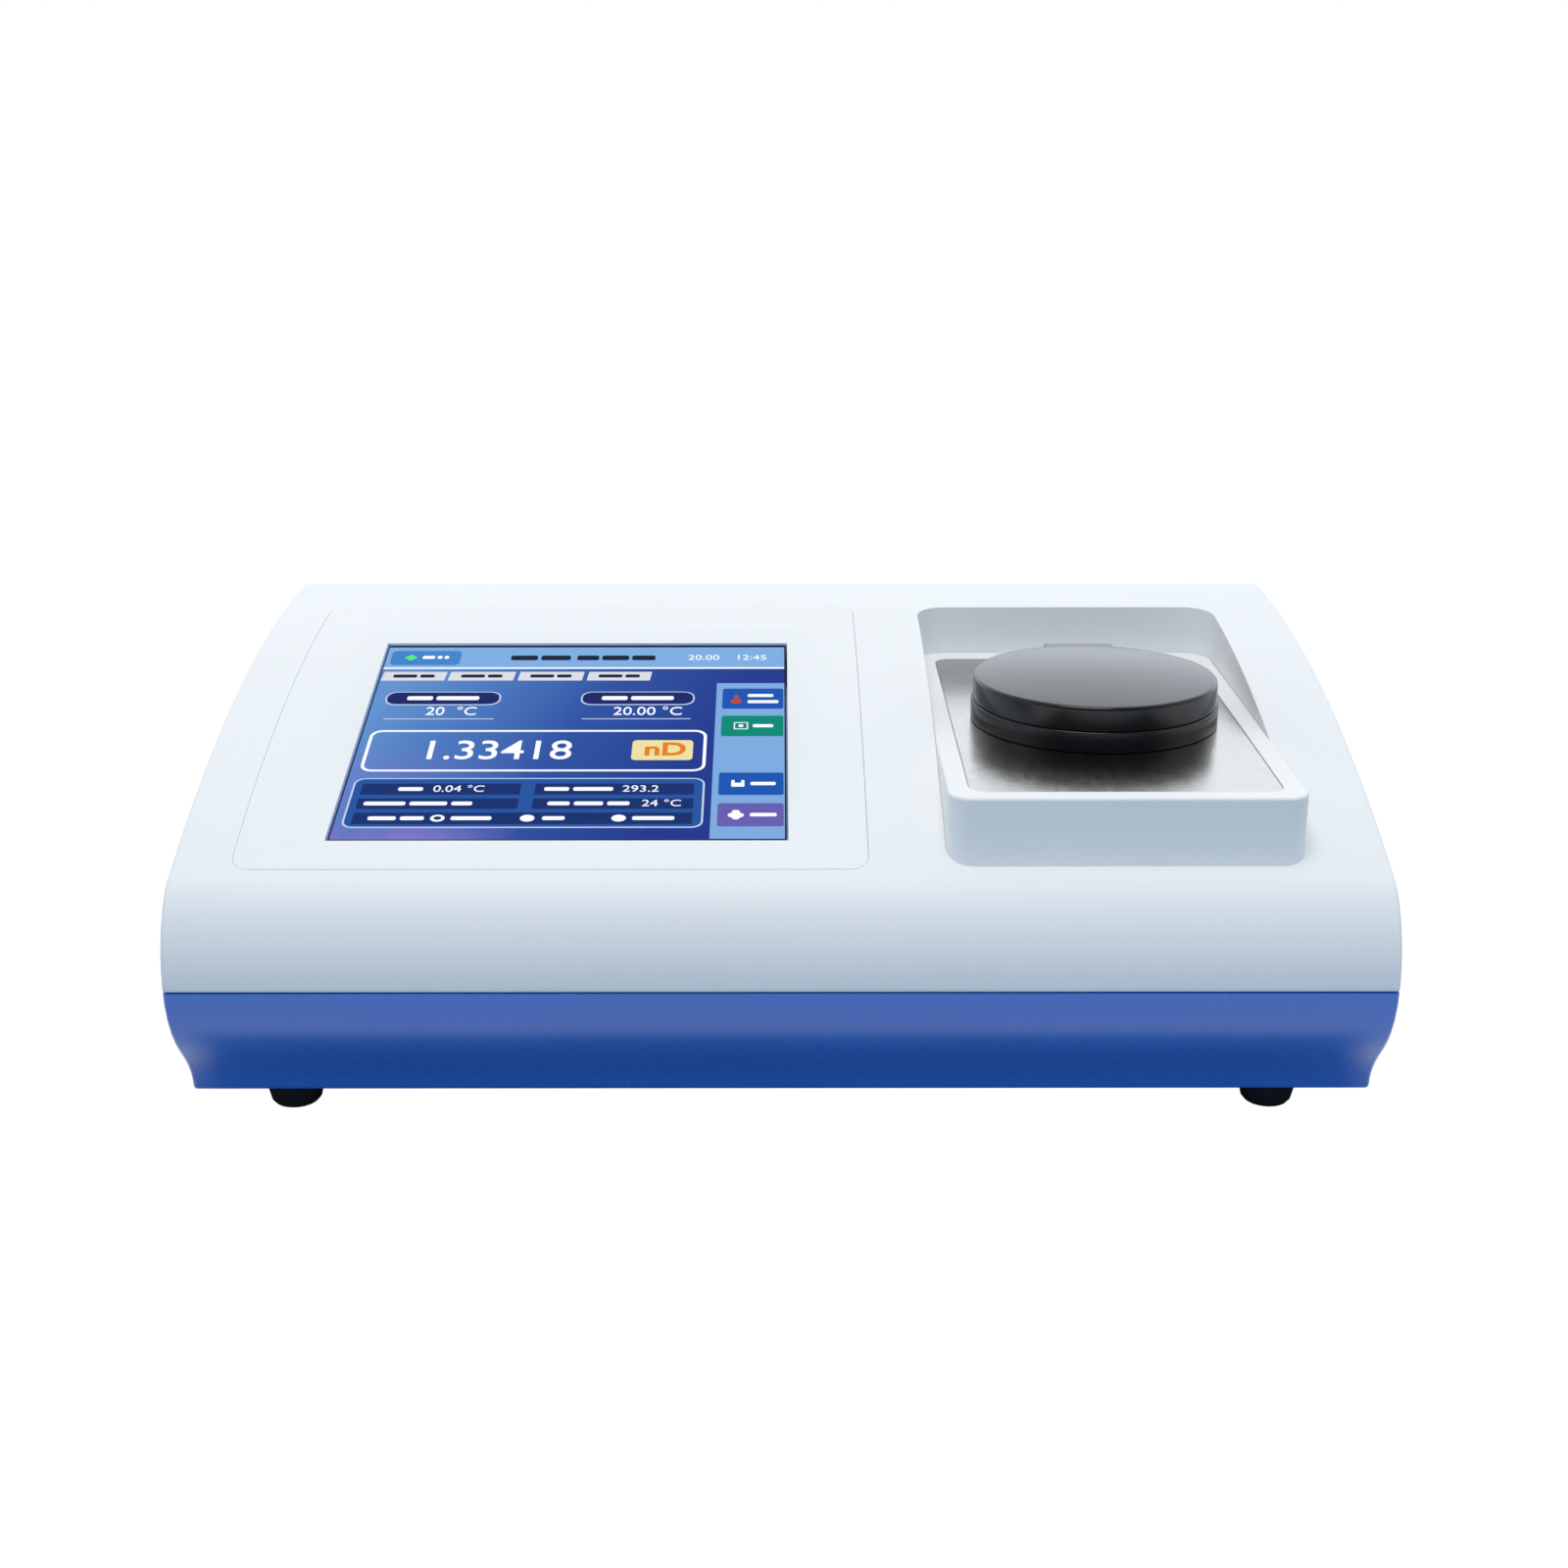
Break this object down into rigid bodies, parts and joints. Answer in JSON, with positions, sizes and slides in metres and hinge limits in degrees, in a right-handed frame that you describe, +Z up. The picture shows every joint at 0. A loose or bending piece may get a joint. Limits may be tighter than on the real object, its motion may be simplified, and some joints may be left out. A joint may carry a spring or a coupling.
{
  "type": "bench refractometer",
  "caption": "Bench instrument with a sloping touch screen, a white and blue two part case and a round hinged lid over a sample well in a steel topped tray.",
  "frame": {"origin": "on the bench under the middle of the case", "axes": "+X to the right as the user sees it, -Y to the user, +Z up"},
  "size_m": [0.42, 0.262, 0.1413],
  "materials": {
    "white_plastic": "satin moulded",
    "blue_paint": "satin paint",
    "black_plastic": "satin moulded",
    "black_rubber": "matt",
    "brushed_steel": "brushed",
    "bright_steel": "plated",
    "aluminium": "machined",
    "grey_paint": "fine textured paint",
    "screen_glass": "polished",
    "clear_glass": "polished",
    "ceramic": "matt ceramic",
    "board_green": "solder mask"
  },
  "bodies": {
    "case": {"top_cover": "white_plastic", "base_shell": "blue_paint", "chassis_plate": "bright_steel", "rear_panel": "grey_paint", "display_bezel": "white_plastic", "touch_glass": "screen_glass", "lcd_module": "aluminium", "display_bracket": "bright_steel", "display_board": "board_green", "sample_tray": "white_plastic", "stage_plate": "brushed_steel", "cover_ring": "black_plastic", "hinge_pin": "bright_steel", "sample_well": "bright_steel", "prism": "clear_glass", "prism_seal": "black_rubber", "prism_block": "aluminium", "peltier_plate": "ceramic", "heat_sink": "aluminium", "optics_stand": "aluminium", "light_barrel": "aluminium", "sensor_barrel": "aluminium", "collimator_lens": "clear_glass", "objective_lens": "clear_glass", "light_source": "black_plastic", "sensor_board": "board_green", "main_board": "board_green", "power_supply": "aluminium", "fan_frame": "black_plastic", "power_inlet": "black_plastic", "switch_housing": "black_plastic", "usb_port": "bright_steel", "network_port": "bright_steel", "serial_port": "bright_steel", "foot_front_left": "black_rubber", "foot_screw_front_left": "bright_steel", "foot_front_right": "black_rubber", "foot_screw_front_right": "bright_steel", "foot_rear_left": "black_rubber", "foot_screw_rear_left": "bright_steel", "foot_rear_right": "black_rubber", "foot_screw_rear_right": "bright_steel", "case_screw_1": "bright_steel", "panel_screw_1": "bright_steel", "case_screw_2": "bright_steel", "panel_screw_2": "bright_steel", "case_screw_3": "bright_steel", "panel_screw_3": "bright_steel", "case_screw_4": "bright_steel", "panel_screw_4": "bright_steel"},
    "lid": {"lid": "black_plastic", "lid_gasket": "black_rubber"},
    "fan": {"fan_rotor": "black_plastic"},
    "rocker": {"switch_rocker": "black_plastic"}
  },
  "joints": [
    {"name": "lid_hinge", "type": "hinge", "parent": "case", "child": "lid", "pos_m": [0.1195, 0.03905, 0.1334], "axis": [-1, 0, 0], "range_deg": [0, 105]},
    {"name": "fan_spin", "type": "hinge", "parent": "case", "child": "fan", "pos_m": [0.1195, 0.1174, 0.08], "axis": [0, 1, 0], "continuous": true},
    {"name": "switch_rock", "type": "hinge", "parent": "case", "child": "rocker", "pos_m": [-0.11802, 0.1248, 0.048], "axis": [-1, 0, 0], "range_deg": [0, 20]}
  ]
}
